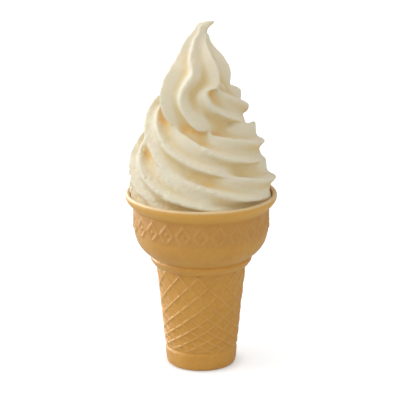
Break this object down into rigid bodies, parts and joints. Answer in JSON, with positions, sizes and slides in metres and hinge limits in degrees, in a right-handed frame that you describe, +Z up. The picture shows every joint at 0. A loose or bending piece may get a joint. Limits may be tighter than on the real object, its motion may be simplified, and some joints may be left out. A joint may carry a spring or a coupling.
{
  "type": "soft serve cone",
  "caption": "Soft serve ice cream piped in a closing coil of ridged rope with a hooked tip, in a flat-bottomed wafer cup with a lattice stem.",
  "frame": {"origin": "centre of the cup's flat foot, at the height it rests on", "axes": "+Z up along the cup's axis; -Y is the front, and the hooked tip of the swirl points to +X"},
  "size_m": [0.06, 0.06, 0.1394],
  "materials": {
    "baked_wafer": "matte, porous, browned wafer",
    "soft_serve_cream": "softly glossy, slightly grainy frozen cream"
  },
  "bodies": {
    "root": {"wafer_cup": "baked_wafer", "soft_serve": "soft_serve_cream"}
  },
  "joints": []
}
